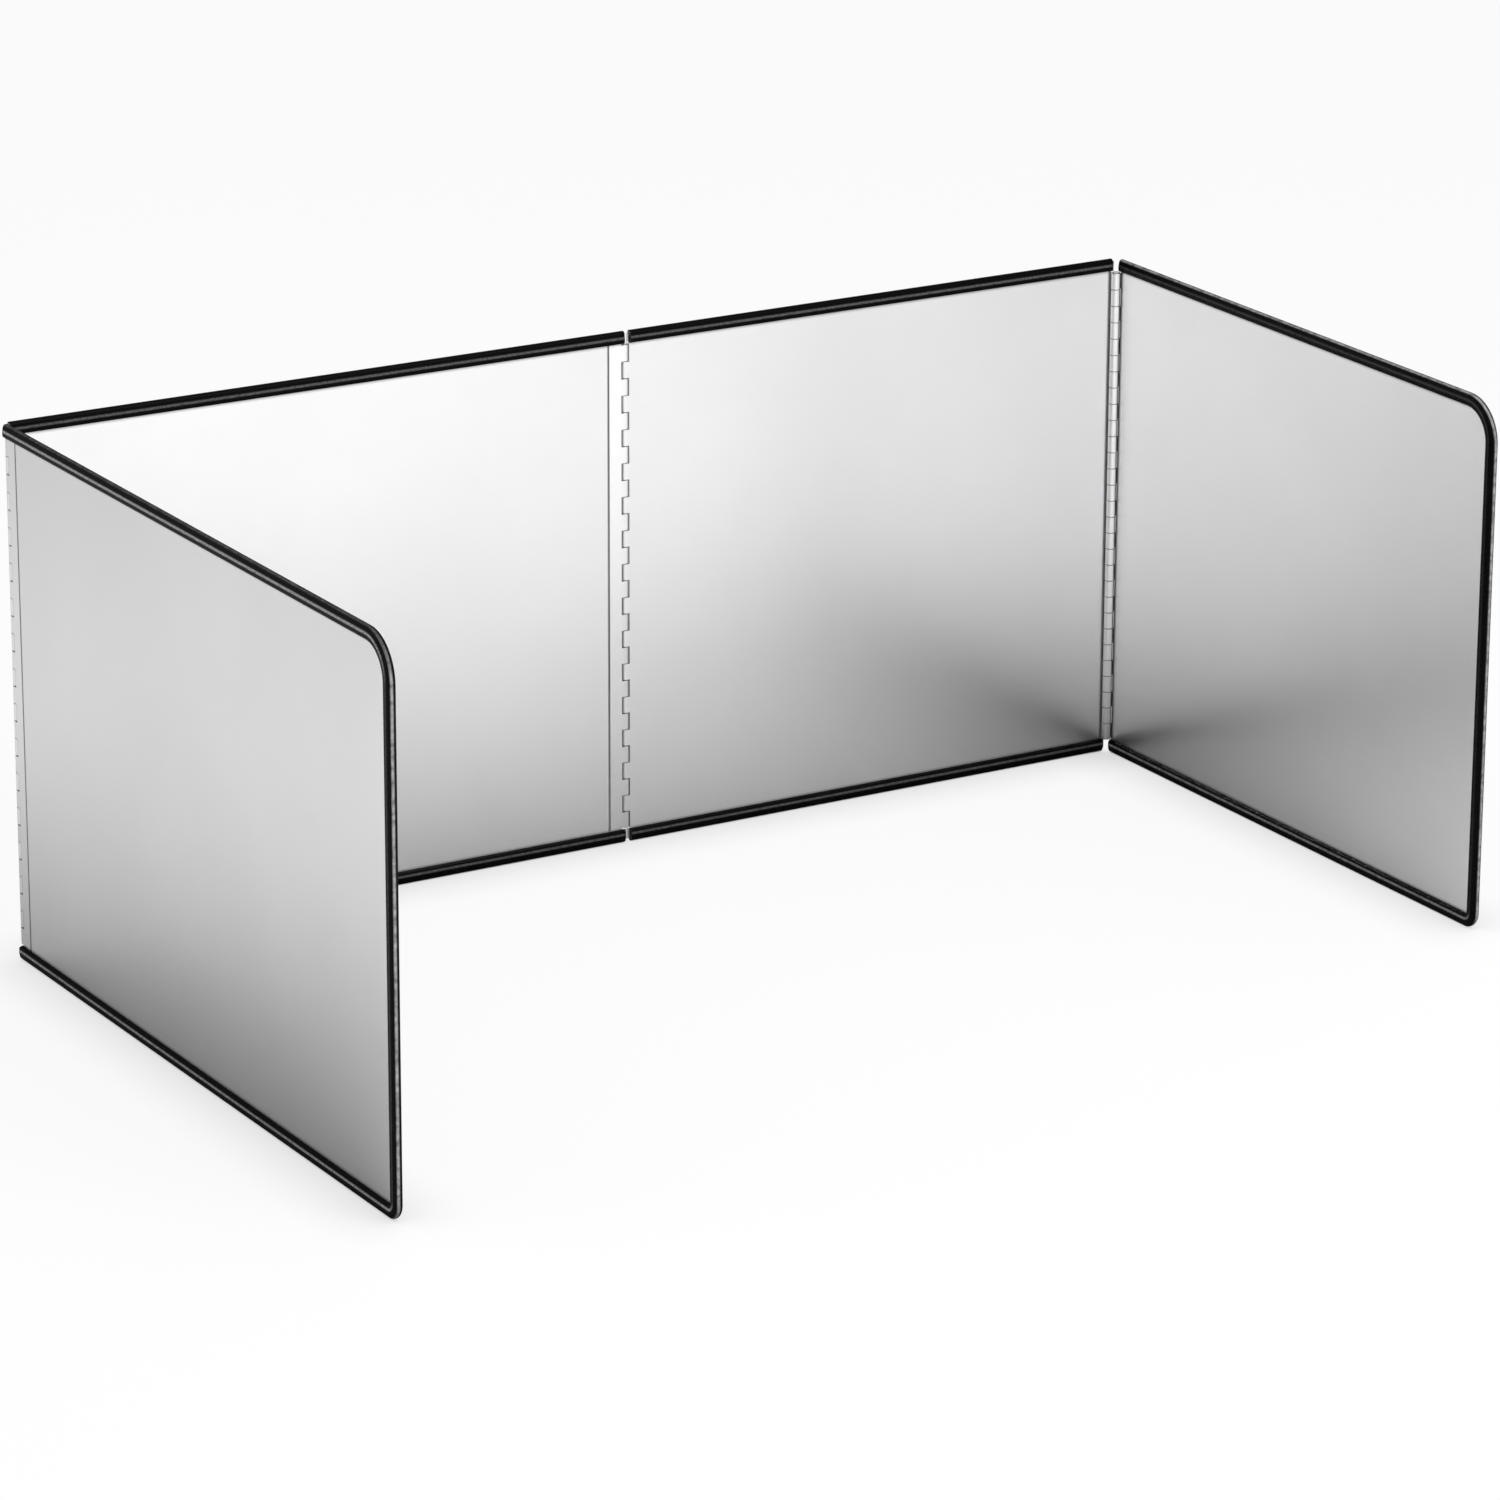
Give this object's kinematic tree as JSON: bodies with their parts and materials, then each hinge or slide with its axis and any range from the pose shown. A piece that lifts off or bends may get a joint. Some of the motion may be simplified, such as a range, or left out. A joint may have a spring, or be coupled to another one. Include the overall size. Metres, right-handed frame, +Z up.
{
  "type": "folding splash guard",
  "caption": "Free-standing folding guard of thin steel panels on knuckled hinges, edged with rubber channel, that stands round a hob and keeps grease off the walls.",
  "frame": {"origin": "on the floor, at the middle of the footprint's bounding box", "axes": "+Z up, +X along the back from the left end to the right end, +Y to the outside of the back; the ends stand towards -Y"},
  "size_m": [0.7228, 0.45, 0.305],
  "materials": {
    "panel_steel": "satin",
    "hinge_steel": "satin",
    "pin_steel": "bright drawn",
    "edge_rubber": "satin, finely pebbled",
    "core_steel": "plain rolled"
  },
  "bodies": {
    "left_back": {"left_back_panel": "panel_steel", "left_back_top_trim": "edge_rubber", "left_back_bottom_trim": "edge_rubber", "middle_hinge_strip": "hinge_steel", "middle_hinge_pin": "pin_steel", "left_back_top_trim_core": "core_steel", "left_back_bottom_trim_core": "core_steel"},
    "left_end": {"left_end_panel": "panel_steel", "left_end_trim": "edge_rubber", "left_hinge_strip": "hinge_steel", "left_hinge_pin": "pin_steel", "left_end_trim_core": "core_steel"},
    "right_back": {"right_back_panel": "panel_steel", "right_back_top_trim": "edge_rubber", "right_back_bottom_trim": "edge_rubber", "right_back_top_trim_core": "core_steel", "right_back_bottom_trim_core": "core_steel"},
    "right_end": {"right_end_panel": "panel_steel", "right_end_trim": "edge_rubber", "right_hinge_pin": "pin_steel", "right_end_trim_core": "core_steel"}
  },
  "joints": [
    {"name": "left_hinge", "type": "hinge", "parent": "left_back", "child": "left_end", "pos_m": [-0.3565, 0.21702, 0], "axis": [0, 0, 1], "range_deg": [-90, 90]},
    {"name": "middle_hinge", "type": "hinge", "parent": "left_back", "child": "right_back", "pos_m": [0.0255, 0.22212, 0], "axis": [0, 0, 1], "range_deg": [0, 180]},
    {"name": "right_hinge", "type": "hinge", "parent": "right_back", "child": "right_end", "pos_m": [0.3565, 0.21702, 0], "axis": [0, 0, -1], "range_deg": [-90, 88]}
  ]
}
